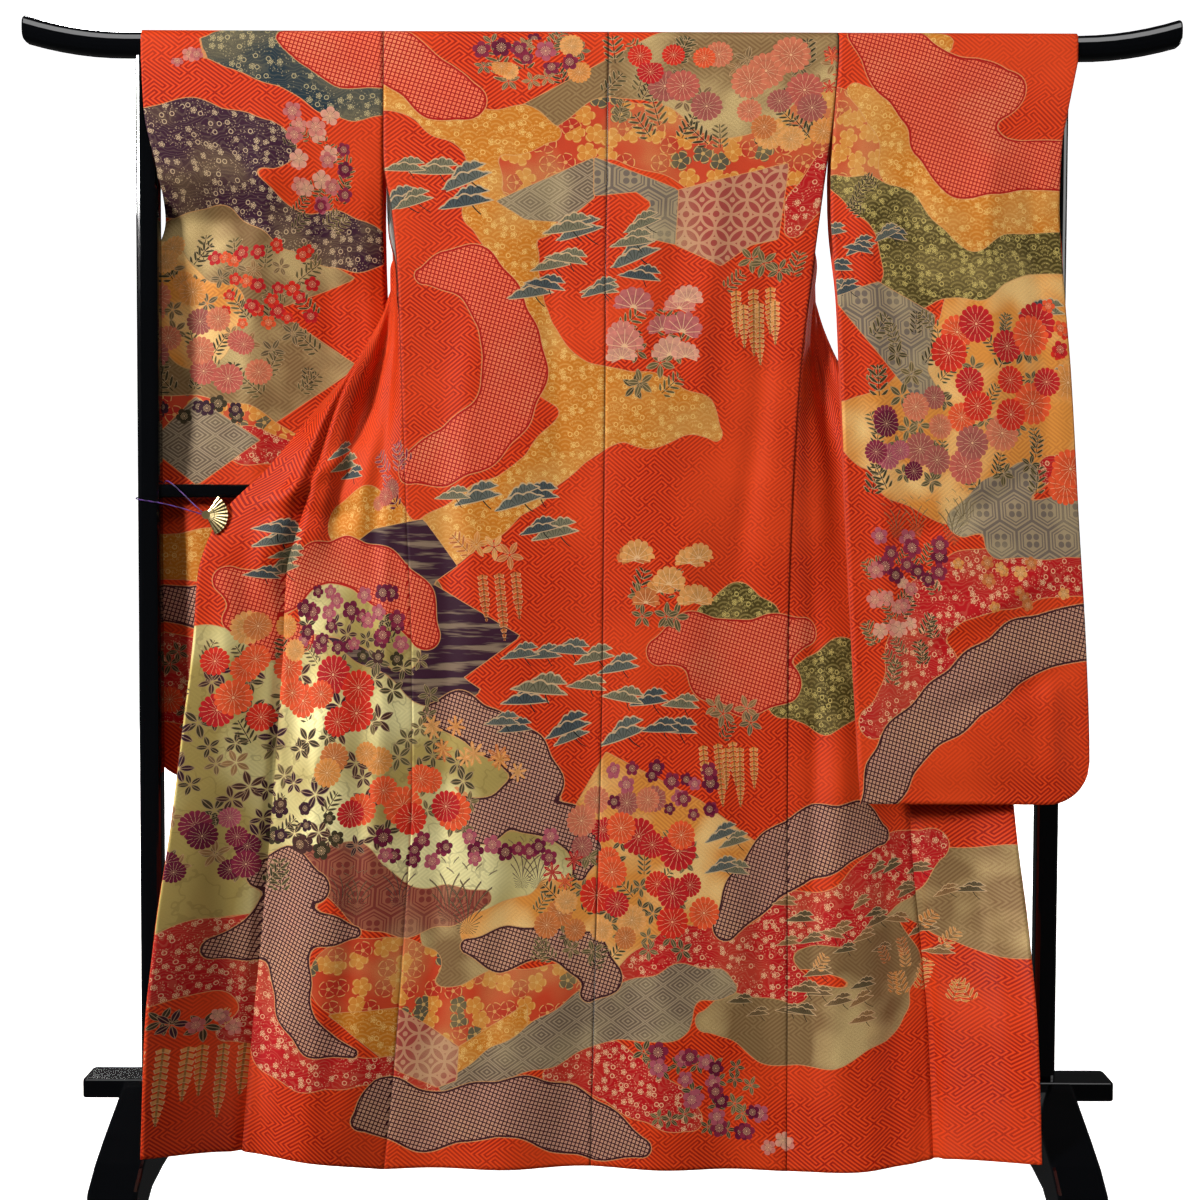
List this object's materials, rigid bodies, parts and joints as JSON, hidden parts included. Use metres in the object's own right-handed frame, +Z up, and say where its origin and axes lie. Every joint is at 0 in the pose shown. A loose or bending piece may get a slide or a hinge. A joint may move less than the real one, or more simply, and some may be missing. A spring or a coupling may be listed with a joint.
{
  "type": "furisode on a kimono stand",
  "caption": "A vermilion furisode with cloud bands and long sleeves, hung open with its back to the viewer on a black lacquered kimono stand.",
  "frame": {"origin": "on the floor, midway between the two feet", "axes": "+X to the right as seen from the side that shows the back of the garment, +Y away from that viewer so that the back panels face -Y, +Z up"},
  "size_m": [1.652, 0.537, 1.7024],
  "materials": {
    "outer_silk": "satin",
    "lining_silk": "matte",
    "black_lacquer": "gloss",
    "gold_metal": "satin",
    "cord_silk": "satin"
  },
  "bodies": {
    "root": {"body_left": "outer_silk", "body_right": "outer_silk", "okumi_left": "outer_silk", "okumi_right": "outer_silk", "sleeve_left": "outer_silk", "sleeve_right": "outer_silk", "lining_left": "lining_silk", "lining_right": "lining_silk", "collar": "outer_silk", "top_bar": "black_lacquer", "post_left": "black_lacquer", "post_right": "black_lacquer", "middle_rail": "black_lacquer", "base_board": "black_lacquer", "foot_left": "black_lacquer", "foot_right": "black_lacquer", "fan_clip": "gold_metal", "clip_cord": "cord_silk"}
  },
  "joints": []
}
